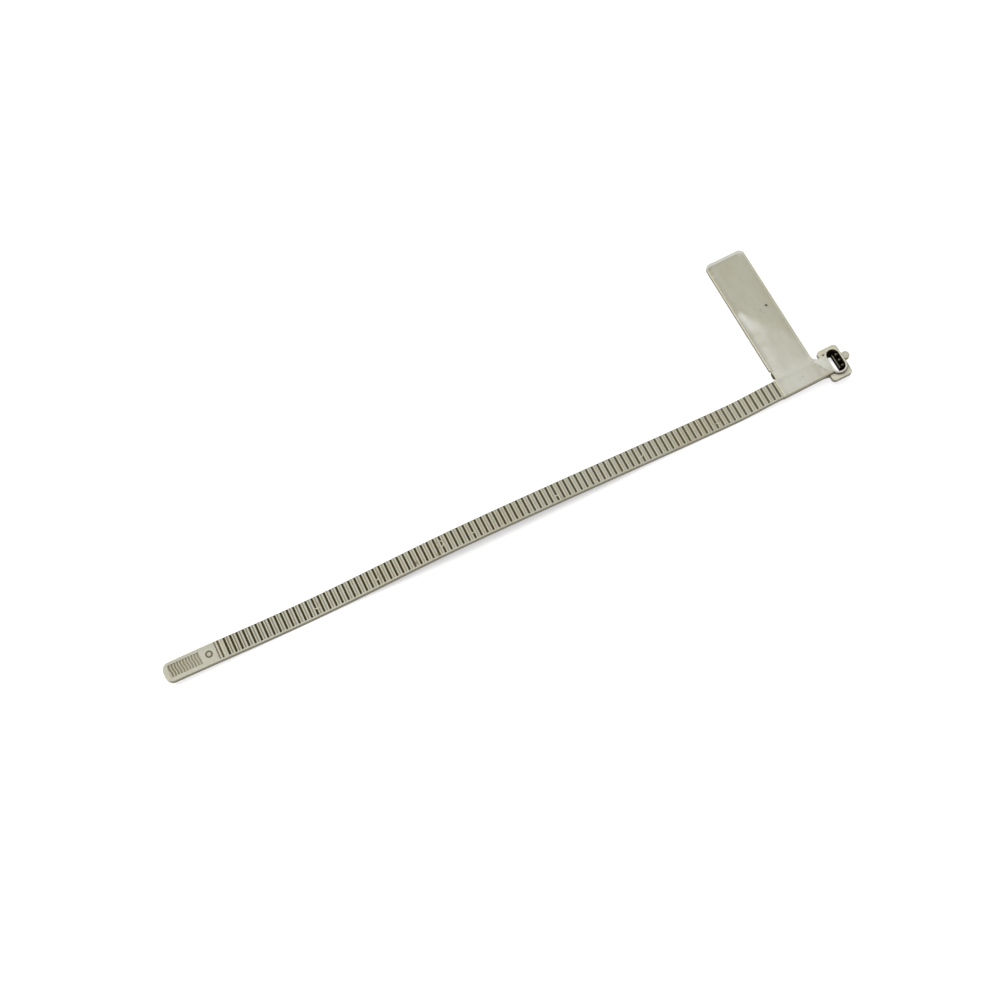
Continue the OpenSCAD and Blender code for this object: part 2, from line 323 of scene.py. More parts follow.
# one tooth and its groove from the side: distance along, depth below the crest, painted shade with soil,
# painted highlight with rubbing
tooth_side = [
    (-0.60, 0.072, 0.16, 0.0), (-0.48, 0.062, 0.05, 0.06), (-0.38, 0.066, 0.0, 0.1),
    (-0.28, 0.085, 0.06, 0.0), (-0.235, 0.10, 0.3, 0.0), (-0.205, 0.14, 0.8, 0.0),
    (-0.19, 0.22, 1.0, 0.0), (-0.175, 0.38, 1.0, 0.0), (-0.15, 0.43, 1.0, 0.0),
    (-0.10, 0.45, 1.0, 0.0), (0.10, 0.45, 1.0, 0.0), (0.15, 0.43, 1.0, 0.0),
    (0.20, 0.34, 0.85, 0.0), (0.25, 0.20, 0.4, 0.0), (0.32, 0.065, 0.04, 0.2),
    (0.37, 0.018, 0.0, 0.55), (0.44, 0.0, 0.0, 0.65), (0.52, 0.0, 0.0, 0.5),
    (0.59, 0.015, 0.03, 0.15), (0.65, 0.040, 0.18, 0.0), (0.75, 0.065, 0.24, 0.0),
    (0.83, 0.070, 0.23, 0.0), (0.90, 0.076, 0.20, 0.0), (0.975, 0.072, 0.16, 0.0),
]
half = strap_width / 2
# lines along the top, in millimetres in from its front edge and from its back edge
front_lines = [0, 0.025, 0.07, 0.12, 0.17, 0.24, 0.30, 0.36, 0.39, 0.42, 0.45, 0.48, 0.55, 0.67]
back_lines = [0.30, 0.20, 0.16, 0.12, 0.08, 0.045, 0.015, 0]
across = [-half - lip_out + y * mm for y in front_lines]
across += [-half / 2, 0, half / 2] + [half - y * mm for y in back_lines]
# the underside and side walls, with the slight ridge of the mould's parting line: share of the
# half width, height, painted shade with soil, brown of painted shade tone
belly = [
    (1, 0.85, 0.1, 0.4), (1.03, 0.5, 0.15, 0.6), (1.02, 0.12, 0.25, 0.6), (0.97, 0, 0.3, 0.5),
    (0, 0, 0.2, 0.1), (-1.03, 0, 0.35, 0.5), (-1.11, 0.12, 0.33, 0.8), (-1.12, 0.45, 0.2, 0.8),
    (-1.09, 0.62, 0.14, 0.7), (-1.0625, 0.85, 0.08, 0.35),
]


def behind_rail(y):
    """One where the grooves are open, falling to nought on the rail at the front."""
    return smooth((y + half - rail_front + 0.02 * mm) / rail_slope)


def tooth_ring(along, depth, dirt, worn):
    """One cross-section of a tooth, with its painted shade and soil, painted highlight and rubbing, brown
    discolouring, darker land band and painted light.
    """
    ring, dirts, wears, stains, films, blooms = [], [], [], [], [], []
    for y in across:
        back = smooth((half - y - rail_back + 0.03 * mm) / rail_slope)
        open_part = min(behind_rail(y), 0.9 + 0.1 * back if y > 0 else 1)
        inset = min(half - y, y + half + lip_out)
        z = strap_thick - depth * mm * max(0.06, open_part) - rounding(inset, edge_round)
        ring.append((along * mm, y, z))
        # painted shade, with some soil, in the grooves
        dirts.append(dirt * smooth(open_part * 1.6 - 0.6))
        rail = smooth((-y - half + 0.25 * mm) / (0.08 * mm)) * smooth((y + half + lip_out) / (0.06 * mm))
        # painted highlights on the crests and rails, with some rubbing
        wears.append(max(worn * open_part, 0.10 * rail))
        # painted light on the middle of the lands
        blooms.append(0.14 * smooth((abs(along - 0.19) - 0.5) / 0.2))
        # a darker band across each land
        films.append(0.40 * open_part * smooth(1.2 - abs(along - 0.72) / 0.26))
        # a brown band on the ramp out of each groove
        stains.append(0.18 * open_part * smooth(1.2 - abs(along - 0.25) / 0.12))
    for share, z, grime, stain in belly:
        ring.append((along * mm, share * half, z * mm))
        dirts.append(grime)
        wears.append(0.0)
        stains.append(stain)
        films.append(0.0)
        blooms.append(0.0)
    return ring, dirts, wears, stains, films, blooms


rings, grime, wear, stain, film, bloom = [], [], [], [], [], []
for station in tooth_side:
    ring, dirts, wears, stains, films, blooms = tooth_ring(*station)
    rings.append(ring)
    grime += dirts
    wear += wears
    stain += stains
    film += films
    bloom += blooms
points, faces = loft(rings, capped=False)
tooth_mesh = bpy.data.meshes.new("tooth")
tooth_mesh.from_pydata(points, [], faces)
mark(tooth_mesh, recess=grime, wear=wear, stain=stain, film=film, bloom=bloom)


def bow_tree():
    """Repeats a piece along X, welds it, and lays it on the bow of the strap."""
    tree = bpy.data.node_groups.new("strap_bow", "GeometryNodeTree")
    face = tree.interface
    face.new_socket("Geometry", in_out="OUTPUT", socket_type="NodeSocketGeometry")
    inputs = [("Geometry", "Geometry"), ("Count", "Int"), ("Material", "Material")]
    inputs += [(name, "Float") for name in (
        "Start", "Pitch", "Tail lift", "Tail end", "Touch", "Middle lift", "Bow top", "Bow end",
        "Root lift", "Root slope", "Rise start", "Rise end",
    )]
    for name, kind in inputs:
        face.new_socket(name, in_out="INPUT", socket_type="NodeSocket" + kind)
    nodes, links = tree.nodes, tree.links
    source = nodes.new("NodeGroupInput").outputs

    def math(operation, *values):
        return calculate(tree, operation, *values)

    def ease(x, start, end):
        turn = math("COSINE", spread(tree, x, start, end, 0.0, pi))
        return math("MULTIPLY", math("SUBTRACT", 1.0, turn), 0.5)

    def vector(x=None, z=None):
        node = nodes.new("ShaderNodeCombineXYZ")
        for axis, value in (("X", x), ("Z", z)):
            if value is not None:
                links.new(value, node.inputs[axis])
        return node.outputs["Vector"]

    row = nodes.new("GeometryNodeMeshLine")
    links.new(source["Count"], row.inputs["Count"])
    links.new(vector(x=source["Start"]), row.inputs["Start Location"])
    links.new(vector(x=source["Pitch"]), row.inputs["Offset"])
    repeat = nodes.new("GeometryNodeInstanceOnPoints")
    links.new(row.outputs["Mesh"], repeat.inputs["Points"])
    links.new(source["Geometry"], repeat.inputs["Instance"])
    real = nodes.new("GeometryNodeRealizeInstances")
    links.new(repeat.outputs["Instances"], real.inputs["Geometry"])
    weld = nodes.new("GeometryNodeMergeByDistance")
    weld.inputs["Distance"].default_value = 0.004 * mm
    links.new(real.outputs["Geometry"], weld.inputs["Geometry"])
    apart = nodes.new("ShaderNodeSeparateXYZ")
    links.new(nodes.new("GeometryNodeInputPosition").outputs["Position"], apart.inputs["Vector"])
    x = apart.outputs["X"]
    tail = math("MULTIPLY", ease(x, source["Touch"], source["Tail end"]), source["Tail lift"])
    up, down = ease(x, source["Touch"], source["Bow top"]), ease(x, source["Bow top"], source["Bow end"])
    middle = math("MULTIPLY", math("SUBTRACT", up, down), source["Middle lift"])
    share = spread(tree, x, source["Rise start"], source["Rise end"])
    square = math("MULTIPLY", share, share)
    level_climb = math("MULTIPLY", square, math("SUBTRACT", 3.0, math("MULTIPLY", share, 2.0)))
    end_bend = math("MULTIPLY", square, math("SUBTRACT", share, 1.0))
    climb = math("MULTIPLY", level_climb, source["Root lift"])
    root = math("ADD", climb, math("MULTIPLY", end_bend, source["Root slope"]))
    shift = nodes.new("GeometryNodeSetPosition")
    links.new(weld.outputs["Geometry"], shift.inputs["Geometry"])
    links.new(vector(z=math("ADD", math("ADD", tail, middle), root)), shift.inputs["Offset"])
    paint = nodes.new("GeometryNodeSetMaterial")
    links.new(shift.outputs["Geometry"], paint.inputs["Geometry"])
    links.new(source["Material"], paint.inputs["Material"])
    links.new(paint.outputs["Geometry"], nodes.new("NodeGroupOutput").inputs["Geometry"])
    return tree


strap_bow = bow_tree()


def on_bow(unit_mesh, name, count=1, start=0.0):
    """The unit, repeated and laid on the bow, as a plain closed mesh in the row frame."""
    unit = bpy.data.objects.new("unit", unit_mesh)
    bpy.context.collection.objects.link(unit)
    modifier = unit.modifiers.new("bow", "NODES")
    modifier.node_group = strap_bow
    sizes = {
        "Count": count, "Start": start, "Pitch": tooth_pitch, "Material": strap_nylon,
        "Tail lift": 1.5 * mm, "Tail end": -tail_length, "Touch": 20 * mm,
        "Middle lift": 2.3 * mm, "Bow top": 64 * mm, "Bow end": 142 * mm,
        "Root lift": root_lift, "Root slope": rise_length * tan(head_pitch),
        "Rise start": root_x - rise_length, "Rise end": root_x,
    }
    for item in strap_bow.interface.items_tree:
        if item.in_out == "INPUT" and item.name in sizes:
            modifier[item.identifier] = sizes[item.name]
    graph = bpy.context.evaluated_depsgraph_get()
    mesh = bpy.data.meshes.new_from_object(unit.evaluated_get(graph), depsgraph=graph)
    bpy.data.objects.remove(unit)
    mesh.name = name
    mesh.transform(to_row)
    work = bmesh.new()
    work.from_mesh(mesh)
    bmesh.ops.holes_fill(work, edges=work.edges, sides=0)
    work.to_mesh(mesh)
    work.free()
    face_out(mesh)
    made = bpy.data.objects.new(name, mesh)
    bpy.context.collection.objects.link(made)
    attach(made, "root")
    return made


# the tail's own mesh holds the shallow first groove, so the row starts at the second one
toothed_strap = on_bow(tooth_mesh, "toothed_strap", groove_count - 1, tooth_pitch)
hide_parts("cable_marker")

# Pin marks: thin raised arcs of nylon where the mould's ejector pins pushed on the strap.
# They are part of the moulding, a little under 2 mm across, and bridge the groove under them.
pin_round = 0.85 * mm
pin_sunk = 0.02 * mm
pin_steps = 12
# the arc's section: out from its line, and up from the crests
pin_section = (
    (-0.16, -0.35), (-0.14, -0.02), (-0.05, 0.03), (0.05, 0.03), (0.14, -0.04), (0.17, -0.35),
)
points, faces = [], []
for along, y, turn, sweep_angle in (
    (24.1, 0.2, -100, 110), (39.2, 0.1, -60, 120), (56.2, 0.3, -10, 200), (64.6, 0.2, -95, 110),
    (86.9, -0.1, -100, 120), (109.7, 0.1, -80, 140), (131.4, -0.25, -90, 120),
):
    rings = []
    for i in range(pin_steps + 1):
        a = radians(turn + sweep_angle * (i / pin_steps - 0.5))
        taper = 0.35 + 0.65 * sin(pi * i / pin_steps)
        ring = []
        for out, up in pin_section:
            reach = pin_round + out * taper * mm
            z = strap_thick + up * mm - pin_sunk
            ring.append((along * mm + reach * cos(a), y * mm + reach * sin(a), z))
        rings.append(ring)
    more_points, more_faces = loft(rings)
    faces += [tuple(i + len(points) for i in face) for face in more_faces]
    points += more_points
pin_mesh = bpy.data.meshes.new("pin_marks")
pin_mesh.from_pydata(points, [], faces)
# the arcs' tops get painted highlight
mark(pin_mesh, recess=[0.06] * len(points), wear=[0.7] * len(points))
on_bow(pin_mesh, "pin_marks")

# Tail: the plain round end that is threaded first, moulded in one with the strap.
# It has eleven fine grip ridges in a shallow panel, and a small ring mark before the teeth.
tail_half = 2.35 * mm
tail_round = 1.85 * mm
grip_start = -tail_length + 1.3 * mm
grip_length = 7.7 * mm
grip_half = 1.55 * mm
grip_count = 11
grip_pitch = grip_length / grip_count
grip_sunk = 0.08 * mm
grip_furrow = 0.17 * mm
ring_at = -2.8 * mm
ring_out = 0.86 * mm
ring_line = 0.34 * mm
ring_deep = 0.13 * mm
score_at = -0.8 * mm
score_deep = 0.11 * mm
first_deep = 0.2 * mm
first_fall = 0.06 * mm


def tail_width(x):
    """Half the tail's width at one place along it."""
    centre = -tail_length + tail_round
    if x < centre:
        return tail_half - tail_round + sqrt(max(0.0, tail_round ** 2 - (centre - x) ** 2))
    return tail_half + (half - tail_half) * min(1.0, (x - centre) / -centre)


def tail_inset(x, y):
    """How far a point lies inside the tail's outline."""
    centre = -tail_length + tail_round
    off = abs(y) - (lip_out if y < 0 else 0)
    if x < centre and off > tail_half - tail_round:
        return tail_round - hypot(centre - x, off - tail_half + tail_round)
    return min(tail_width(max(x, centre)) - off, x + tail_length)


def tail_face(x, y):
    """Depth of the marks in the tail's face, and their painted shade with soil, painted highlight with
    rubbing, and brown discolouring with painted shade.
    """
    depth, dirt, worn, stained = 0.0, 0.0, 0.0, 0.0
    along = min(x - grip_start, grip_start + grip_length - x)
    panel = smooth(along / (0.08 * mm)) * smooth((grip_half - abs(y)) / (0.10 * mm))
    if panel > 0:
        hook = 0.24 * mm * smooth((0.9 * mm - y) / (2.4 * mm)) - 0.05 * mm * sin(y / mm * 3.1)
        furrow = 0.5 - 0.5 * cos(2 * pi * (x - grip_start - hook) / grip_pitch)
        depth = panel * (grip_sunk + grip_furrow * furrow)
        bold = smooth((grip_start + 0.7 * grip_length - x) / (0.7 * grip_length))
        # painted shade, with some soil, in the furrows, and painted highlight on the ridges
        dirt = panel * smooth(furrow * 1.6 - 0.36) * (0.36 + 0.2 * bold)
        stained = panel * (0.10 + 0.3 * smooth(furrow * 1.5 - 0.25))
        worn = panel * (1 - furrow) * 0.15
    from_ring = hypot(x - ring_at, y)
    off = abs(from_ring - ring_out + ring_line / 2)
    line = smooth(1.25 - off / (ring_line / 2 + 0.04 * mm))
    depth, dirt = depth + ring_deep * line, max(dirt, 0.66 * line)
    stained = max(stained, 0.7 * line, 0.22 * smooth((ring_out - from_ring) / (0.2 * mm)))
    inside = behind_rail(y) * smooth((half - y - rail_back) / rail_slope)
    scored = smooth(1 - abs(x - score_at) / (0.20 * mm))
    depth, dirt = depth + score_deep * scored * inside, max(dirt, 0.8 * scored * inside)
    stained = max(stained, 0.9 * scored * inside)
    if x > -0.3 * mm:
        first = smooth((x + 0.24 * mm) / (0.1 * mm)) * smooth((0.30 * mm - x) / (0.18 * mm))
        fall = first_fall * smooth((x - 0.56 * mm) / (0.42 * mm))
        depth = depth + (first_deep * first + fall) * inside
        dirt = max(dirt, 0.78 * first * inside)
        stained = max(stained, 0.9 * first * inside)
        worn = max(worn, 0.3 * inside * smooth(1 - abs(x - 0.5 * mm) / (0.16 * mm)))
    dirt = max(dirt, 0.08 * smooth((y - 1.2 * mm) / (0.5 * mm)))
    edge = tail_inset(x, y)
    rail = smooth((0.30 * mm - edge) / (0.10 * mm)) * smooth(edge / (0.05 * mm))
    return depth, dirt, max(worn, 0.35 * rail), stained


stations = [-tail_length + tail_round * (1 - cos(i * pi / 28)) for i in range(14)]
stations += [grip_start + (i / 10) * grip_pitch for i in range(1, 10 * grip_count + 1)]
stations += [grip_start - 0.04 * mm, grip_start + 0.04 * mm, grip_start + grip_length + 0.1 * mm]
stations += [ring_at + i * 0.07 * mm for i in range(-14, 15)]
stations += [score_at + i * 0.04 * mm for i in range(-5, 6)]
stations += [(-0.36 + 0.06 * i) * mm for i in range(1, 20)]
stations.append(tooth_pitch + tooth_side[0][0] * mm)
stations = sorted(set(round(x, 8) for x in stations))
edge_lines = [-half + y * mm for y in (
    0, 0.012, 0.035, 0.07, 0.11, 0.17, 0.24, 0.33, 0.37, 0.42, 0.52, 0.70, 0.80, 0.84, 0.88, 0.93, 1.05,
)]
lines = edge_lines + [(-1.26 + 0.07 * i) * mm for i in range(37)] + [-y for y in reversed(edge_lines)]
rings, grime, wear, stain = [], [], [], []
for x in stations:
    ring = []
    wide = tail_width(x)
    for line in lines:
        y = line / half * (wide if line > 0 else wide + lip_out * wide / tail_half)
        depth, dirt, worn, stained = tail_face(x, y)
        ring.append((x, y, strap_thick - depth - rounding(tail_inset(x, y), edge_round)))
        grime.append(dirt)
        wear.append(worn)
        stain.append(stained)
    for share, z, dirt, stained in belly:
        ring.append((x, share * wide, z * mm))
        grime.append(dirt)
        wear.append(0.0)
        stain.append(stained)
    rings.append(ring)
points, faces = loft(rings)
tail_mesh = bpy.data.meshes.new("tail_end")
tail_mesh.from_pydata(points, [], faces)
mark(tail_mesh, recess=grime, wear=wear, stain=stain)
on_bow(tail_mesh, "tail")

# Plain run: the flat, slightly thicker stretch of strap that carries the flag and the head.
# It is nylon with rounded edges, narrows a little to the head, and swells up to the rim.
at_head = (
    to_row
    @ Matrix.Translation((slot_x, 0, root_lift + (slot_x - root_x) * tan(head_pitch) + plain_thick))
    @ Matrix.Rotation(-head_pitch, 4, "Y")
)
run_start = root_x - slot_x
run_round = 0.3 * mm
run_low = -1.75
run_proud = 0.27 * mm
neck_in = 0.25 * mm
flag_left = 0.85 * mm - 16.6 * mm
flag_right = flag_left + 10.9 * mm
flag_top = -0.14 * mm
shoulder = 1.1 * mm
panel_deep = 0.07 * mm


def spots_at_head(spots):
    """Spots given in millimetres from the slot's centre."""
    made = []
    for x, y, radius, strength in spots:
        at = at_head @ Vector((x * mm, y * mm, 0))
        made.append((at.x, at.y, radius * mm, strength))
    return made


def shell(name, points, faces, material, **fields):
    """A piece at the head: a closed mesh with its painted shade and painted highlight marks, in its place on
    the marker.
    """
    mesh = bpy.data.meshes.new(name)
    mesh.from_pydata([tuple(p) for p in points], [], faces)
    mesh.transform(at_head)
    for field in ("recess", "wear"):
        fields.setdefault(field, [0.0] * len(mesh.vertices))
    mark(mesh, **fields)
    face_out(mesh)
    mesh.materials.append(material)
    made = bpy.data.objects.new(name, mesh)
    bpy.context.collection.objects.link(made)
    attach(made, "root")
    return made


run_nylon = nylon(
    "run_nylon", 0.2,
    specks=spots_at_head([(-10.25, -0.16, 0.35, 0.14), (-9.34, -0.04, 0.3, 0.3)]),
    # painted shadows at the neck and along the flag's root
    smudges=spots_at_head([
        (-4.3, 0.2, 0.9, 0.2), (-3.6, -1.0, 0.6, 0.22), (-14.6, 1.2, 1.3, 0.08), (-4.7, -0.9, 0.9, 0.12),
    ]),
    # painted light on the run and its neck
    blooms=spots_at_head([(-3.2, 0.9, 1.6, 0.4), (-13.9, 0.0, 2.2, 0.15), (-10.0, -0.8, 5.5, 0.4)]),
)


def run_face(x, y, front):
    """Height of the plain run's top: rounded edges, the slope to the flag, the swell at the rim."""
    z = 0.0
    beside_flag = smooth((x - flag_left) / (0.3 * mm)) * smooth((flag_right - x) / (0.6 * mm))
    panel = smooth(min(x - flag_left, flag_right - x) / (0.3 * mm) - 1.4)
    z += (flag_top * beside_flag - 0.3 * panel_deep * panel) * smooth((y - half + shoulder) / shoulder)
    swell = (x + 3.9 * mm) * 0.80 + (y - 0.2 * mm) * 0.42
    z += 0.10 * mm * smooth(swell / (1.5 * mm)) * smooth((y + 2.2 * mm) / (0.5 * mm))
    z -= 0.05 * mm * smooth(1 - abs(swell) / (0.4 * mm))
    z -= rounding(min(x - run_start, y - front), run_round)
    z -= (1 - beside_flag) * rounding(half - y, run_round)
    return z


stations = [run_start + x * mm for x in (0, 0.01, 0.03, 0.06, 0.1, 0.15, 0.2, 0.3, 0.45, 0.6, 0.8, 1.1)]
stations += [run_start + (1.5 + 0.5 * i) * mm for i in range(18)]
stations += [(-5.4 + 0.2 * i) * mm for i in range(18)]
stations = sorted(set(round(x, 8) for x in stations if x <= -slot_wide / 2 - 0.2 * mm))
rings, grime, wear, stain, bloom = [], [], [], [], []
for x in stations:
    front = -half - run_proud + neck_in * (x - run_start) / -run_start
    gusset = smooth((x + 5.0 * mm) / (2.8 * mm))
    ring = []
    for y in (
        [front + v * mm for v in (0, 0.01, 0.04, 0.08, 0.13, 0.19, 0.25, 0.32, 0.45)]
        + [(-1.8 + 0.2 * i) * mm for i in range(18)]
        + [half - v * mm for v in (0.6, 0.45, 0.3, 0.2, 0.15, 0.1, 0.06, 0.03, 0.008, 0)]
    ):
        ring.append((x, y, run_face(x, y, front)))
        lip = min(x - run_start, y - front)
        grime.append(0.0)
        stain.append(0.0)
        # painted light on the far side and the neck
        far_side = smooth((y - 1.2 * mm) / (0.8 * mm))
        neck = smooth((x + 5.4 * mm) / mm) * smooth((y + 2.1 * mm - 0.25 * (x + 4 * mm)) / (1.2 * mm))
        bloom.append(0.28 + 0.3 * far_side + 0.3 * neck - 0.12 * smooth(1 - abs(x + 5.2 * mm) / mm))
        # painted highlight along the rounded edges
        wear.append(0.6 * smooth((0.42 * mm - lip) / (0.2 * mm)) * smooth(lip / (0.03 * mm) + 0.3))
    low = run_low - 0.7 * gusset
    # the walls and underside get painted shade, darkest in the corner by the head
    for y, z, dirt, stained in (
        (half, -0.5, 0.15, 0.4), (half, -1.38, 0.2, 0.4),
        (half - 0.12 * mm, -1.5, 0.25, 0.4), (0, run_low, 0.2, 0.1),
        (front + 0.12 * mm, low, 0.5, 0.7),
        (front - (0.06 + 0.12 * gusset) * mm, low + 0.12, 0.35 + 0.6 * gusset, 0.8),
        (front - (0.08 + 0.1 * gusset) * mm, -0.9, 0.22 + 0.45 * gusset, 0.8),
        (front - 0.03 * mm, -0.42, 0.12 + 0.2 * gusset, 0.6),
    ):
        ring.append((x, y, z * mm))
        grime.append(dirt)
        wear.append(0.0)
        stain.append(stained)
        bloom.append(0.0)
    rings.append(ring)
shell("plain_run", *loft(rings), run_nylon, recess=grime, wear=wear, stain=stain, bloom=bloom)

# Flag: the flat nylon plate that is written on, moulded on to the far side of the plain run.
# A shallow panel is sunk in its face, open towards its thin web, and its edges are rounded.
flag_nylon = nylon(
    "flag_nylon", 0.18,
    specks=spots_at_head([(-7.44, 21.34, 0.44, 1.0), (-7.22, 21.15, 0.3, 0.95)]),
    smudges=spots_at_head([
        (-9.3, 20.9, 0.4, 0.24), (-9.4, 20.3, 0.35, 0.2), (-8.9, 19.6, 0.35, 0.2),
        (-10.3, 21.6, 0.35, 0.14), (-15.0, 36.9, 0.6, 0.2), (-14.9, 35.2, 0.6, 0.12),
    ]),
    # painted light and painted glints where the flag mirrors the soft box
    blooms=spots_at_head([
        (-14.5, 22.0, 1.2, 0.5), (-14.2, 20.6, 1.5, 0.6), (-13.8, 18.4, 2.0, 0.5),
        (-12.9, 18.0, 2.4, 0.35), (-11.8, 16.4, 2.9, 0.32), (-10.2, 14.4, 3.2, 0.22),
        (-8.4, 12.2, 2.8, 0.12), (-14.9, 34.6, 0.9, 0.3), (-13.8, 7.6, 1.6, 0.25),
        (-13.8, 10.6, 1.8, 0.3), (-13.8, 13.8, 1.8, 0.3), (-9.5, 4.8, 2.4, 0.15),
        (-13.2, 12.0, 5.5, 0.15), (-10.5, 8.0, 6.5, 0.26), (-14.4, 4.0, 1.2, 0.35),
    ]),
    glints=spots_at_head([
        (-14.4, 21.4, 1.4, 0.35), (-14.0, 20.0, 1.9, 0.28), (-13.6, 18.0, 2.6, 0.2),
        (-13.0, 15.6, 3.0, 0.15), (-13.7, 13.0, 2.8, 0.12), (-13.8, 10.0, 2.8, 0.12),
        (-13.9, 7.2, 2.4, 0.13), (-13.9, 5.0, 2.0, 0.15),
    ]),
)
flag_tip = 38.3 * mm
flag_thick = 0.95 * mm
flag_corner = 1.5 * mm
flag_round = 0.2 * mm
web_end = half + 2.6 * mm
web_thick = 0.6 * mm
web_back = 0.35 * mm
web_swell = 0.5 * mm
root_round = 1.5 * mm
panel_side = 0.55 * mm
panel_tip = 1.0 * mm
panel_corner = 1.0 * mm


def flag_sides(y):
    """The flag's two edges at one place along it, with its round corners and its root's fillet."""
    past = y - (flag_tip - flag_corner)
    turn = flag_corner - sqrt(max(0.0, flag_corner ** 2 - past ** 2)) if past > 0 else 0.0
    left = flag_left + turn + web_back * (1 - smooth((y - web_end + 0.2 * mm) / (0.4 * mm)))
    near = half + root_round - y
    fillet = root_round - sqrt(max(0.0, root_round ** 2 - near ** 2)) if near > 0 else 0.0
    return left, flag_right - turn + fillet


def panel_inset(x, y):
    """How far a point lies inside the sunk panel's outline."""
    dx = abs(x - (flag_left + flag_right) / 2) - (flag_right - flag_left) / 2 + panel_side + panel_corner
    dy = y - (flag_tip - panel_tip - panel_corner)
    if dx > 0 and dy > 0:
        return panel_corner - hypot(dx, dy)
    return min(panel_corner - dx, panel_corner - dy)


def flag_under(y):
    """Height of the flag's underside, which steps up at its thin web."""
    on_web = 1 - smooth((y - web_end) / (0.25 * mm) + 0.5)
    return flag_top - flag_thick - (panel_deep + web_thick - flag_thick) * on_web


stations = [half - 0.05 * mm + i * 0.1 * mm for i in range(0, 18)]
stations += [half + (1.8 + 0.2 * i) * mm for i in range(0, 8)]
stations += [web_end + (0.6 + 1.5 * i) * mm for i in range(0, 20)]
stations += [flag_tip - panel_tip - 1.2 * mm + 0.06 * i * mm for i in range(0, 24)]
stations += [flag_tip - flag_corner * (1 - cos(i * pi / 24)) for i in range(0, 12)]
stations = sorted(set(round(y, 8) for y in stations if y <= flag_tip))
wide = flag_right - flag_left
border = [inward * mm / wide for inward in (
    0, 0.015, 0.04, 0.08, 0.12, 0.17, 0.23, 0.31, 0.40, 0.46, 0.50, 0.54, 0.58, 0.62, 0.70, 0.9, 1.2, 1.6,
)]
shares = border + [0.2 + 0.05 * i for i in range(13)] + [1 - share for share in reversed(border)]
rings, grime, wear, bloom = [], [], [], []
for y in stations:
    left, right = flag_sides(y)
    dip = 0.3 + 0.7 * smooth((y - half) / (4 * mm))
    ring = []
    for share in shares:
        x = left + (right - left) * share
        inset = min(x - left, right - x, flag_tip - y)
        beyond = abs(x - 0.5 * (left + right)) - (wide / 2 - flag_corner)
        if y > flag_tip - flag_corner and beyond > 0:
            inset = flag_corner - hypot(beyond, y - flag_tip + flag_corner)
        in_panel = panel_inset(x, y)
        sunk = panel_deep * smooth(in_panel / (0.14 * mm) + 0.5) * dip
        ring.append((x, y, flag_top - sunk - rounding(inset, flag_round)))
        # painted highlights along the rounded edges
        lip = smooth((0.27 * mm - inset) / (0.12 * mm)) * smooth(inset / (0.03 * mm) + 0.3)
        tip_band = smooth(-in_panel / (0.3 * mm)) * smooth((y - flag_tip + 2.2 * mm) / (0.5 * mm))
        side_lip = 0.3 * smooth(1 - abs(x - left - 0.5 * mm) / (0.35 * mm)) * smooth((y - 22 * mm) / (2 * mm))
        wear.append(max(0.95 * lip * (1 - 0.6 * tip_band), side_lip * (1 - tip_band)))
        # painted shade along the panel's step and in a faint fold by the left edge
        step = smooth(1 - abs(in_panel - 0.12 * mm) / (0.4 * mm)) * smooth((x - left) / (0.3 * mm))
        step *= (0.10 + 0.10 * smooth((y - 36.2 * mm) / (0.6 * mm))) * smooth((y - half - mm) / (2 * mm))
        fold = 0.08 * smooth(1 - abs(x - left - 1.15 * mm) / (0.5 * mm)) * smooth((y - 5.5 * mm) / (2 * mm))
        grime.append(fold + step)
        # painted light at the tip, the far corner and the root
        corner = smooth((x + 7.4 * mm) / (1.6 * mm)) * smooth((y - 35.9 * mm) / (1.6 * mm))
        pale = 0.9 * smooth((y - 36.9 * mm) / (0.8 * mm)) + 0.6 * corner
        at_root = 0.16 * smooth((12 * mm - y) / (4 * mm)) + 0.4 * smooth((6.0 * mm - y) / (3.5 * mm))
        bloom.append(min(1.0, pale + at_root))
    low = flag_under(y)
    web = smooth((web_end + 0.5 * mm - y) / (0.6 * mm))
    flare = smooth((web_end - 0.15 * mm - y) / (0.6 * mm)) * smooth((y - half - 0.2 * mm) / (0.5 * mm))
    swollen = low - web_swell * flare
    # the underside and walls get painted shade, darkest on the left wall and the web
    for x, z, dirt in (
        (right, low + 0.1 * mm, 0.25), (right - 0.08 * mm, low, 0.3),
        (left + (0.08 - 0.25 * flare) * mm, swollen, 0.9),
        (left - 0.3 * flare * mm, swollen + 0.1 * mm, 0.92),
        (left, flag_top - 0.35 * mm, 0.75 + 0.2 * web),
    ):
        ring.append((x, y, z))
        grime.append(dirt)
        wear.append(0.0)
        bloom.append(0.0)
    rings.append(ring)
shell("flag", *loft(rings), flag_nylon, recess=grime, wear=wear, bloom=bloom)

# Head: an upright oval tube of nylon that the strap passes through, with a rounded rim on top.
# A flange stands round it below the rim, and a round gate nub beyond it. Its inside is painted dark, for
# shade.
# near-black of the painted shade inside the head
slot_black = (0.007, 0.005, 0.002, 1)
tube_nylon = nylon(
    "tube_nylon", 0.3,
    # painted glints round the rim
    glints=spots_at_head([
        (0.0, -3.3, 1.1, 0.5), (1.3, -2.8, 0.9, 0.45), (1.85, -1.6, 0.9, 0.35), (-1.4, -2.7, 0.9, 0.4),
        (-1.9, -1.3, 0.9, 0.35), (-1.9, 0.2, 0.9, 0.3), (-1.8, 1.7, 0.9, 0.3),
    ]),
    grime=slot_black, sheen=0.05,
)
head_nylon = nylon(
    "head_nylon", 0.3,
    specks=spots_at_head([(-3.15, 2.85, 0.4, 0.95), (-1.7, 2.95, 0.36, 0.95), (2.34, -0.9, 0.3, 0.95)]),
    # painted light on the gate nub
    blooms=spots_at_head([(3.0, 0.35, 1.1, 0.65)]),
    grime=slot_black, sheen=0.05,
)


